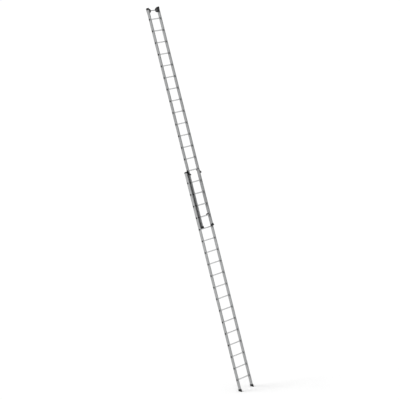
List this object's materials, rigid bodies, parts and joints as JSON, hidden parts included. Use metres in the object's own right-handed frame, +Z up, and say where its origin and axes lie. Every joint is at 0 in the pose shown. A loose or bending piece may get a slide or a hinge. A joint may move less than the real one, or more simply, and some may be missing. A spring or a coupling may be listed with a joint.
{
  "type": "extension ladder",
  "caption": "Two-section push-up extension ladder, raised and leaning, with a sliding fly section, swinging rung hooks, wall rollers and rubber shoes.",
  "frame": {"origin": "centre of the object's box in plan, on the floor under the level soles of the base shoes", "axes": "+Z up, rungs along X, +Y towards the wall that the ladder leans on, climber on the -Y side"},
  "size_m": [0.489, 2.9004, 8.8007],
  "materials": {
    "stile": "extruded, satin",
    "rung": "extruded, ribbed tread, bright satin",
    "fitting": "moulded, fine grain",
    "tyre": "matt, dusty",
    "hub": "moulded, satin",
    "axle": "drawn tube, bright",
    "hook": "dark grey paint over steel",
    "pin": "zinc plated"
  },
  "bodies": {
    "base": {"base_stile_left": "stile", "base_stile_right": "stile", "base_rung_01": "rung", "base_rung_02": "rung", "base_rung_03": "rung", "base_rung_04": "rung", "base_rung_05": "rung", "base_rung_06": "rung", "base_rung_07": "rung", "base_rung_08": "rung", "base_rung_09": "rung", "base_rung_10": "rung", "base_rung_11": "rung", "base_rung_12": "rung", "base_rung_13": "rung", "base_rung_14": "rung", "base_rung_15": "rung", "base_rung_16": "rung", "base_rung_17": "rung", "base_rung_18": "rung", "base_shoe_left": "fitting", "base_top_guide_left": "fitting", "base_shoe_right": "fitting", "base_top_guide_right": "fitting"},
    "fly": {"fly_stile_left": "stile", "fly_stile_right": "stile", "fly_rung_01": "rung", "fly_rung_02": "rung", "fly_rung_03": "rung", "fly_rung_04": "rung", "fly_rung_05": "rung", "fly_rung_06": "rung", "fly_rung_07": "rung", "fly_rung_08": "rung", "fly_rung_09": "rung", "fly_rung_10": "rung", "fly_rung_11": "rung", "fly_rung_12": "rung", "fly_rung_13": "rung", "fly_rung_14": "rung", "fly_rung_15": "rung", "fly_rung_16": "rung", "fly_rung_17": "rung", "fly_rung_18": "rung", "roller_axle": "axle", "fly_shoe_left": "fitting", "fly_top_cap_left": "fitting", "fly_runner_left": "fitting", "hook_pin_left": "pin", "fly_shoe_right": "fitting", "fly_top_cap_right": "fitting", "fly_runner_right": "fitting", "hook_pin_right": "pin"},
    "hook_left": {"rung_hook_left": "hook"},
    "hook_right": {"rung_hook_right": "hook"},
    "roller_left": {"wall_roller_left": "tyre", "roller_hub_left": "hub"},
    "roller_right": {"wall_roller_right": "tyre", "roller_hub_right": "hub"}
  },
  "joints": [
    {"name": "fly_slide", "type": "slide", "parent": "base", "child": "fly", "axis": [0, 0.309, 0.9511], "range_m": [-3.92, 0]},
    {"name": "hook_left_swing", "type": "hinge", "parent": "fly", "child": "hook_left", "pos_m": [0, -0.11867, 4.03653], "axis": [1, 0, 0], "range_deg": [0, 125]},
    {"name": "hook_right_swing", "type": "hinge", "parent": "fly", "child": "hook_right", "pos_m": [0, -0.11867, 4.03653], "axis": [1, 0, 0], "range_deg": [0, 125]},
    {"name": "roller_left_spin", "type": "hinge", "parent": "fly", "child": "roller_left", "pos_m": [0, 1.39627, 8.7217], "axis": [1, 0, 0], "continuous": true},
    {"name": "roller_right_spin", "type": "hinge", "parent": "fly", "child": "roller_right", "pos_m": [0, 1.39627, 8.7217], "axis": [1, 0, 0], "continuous": true}
  ]
}
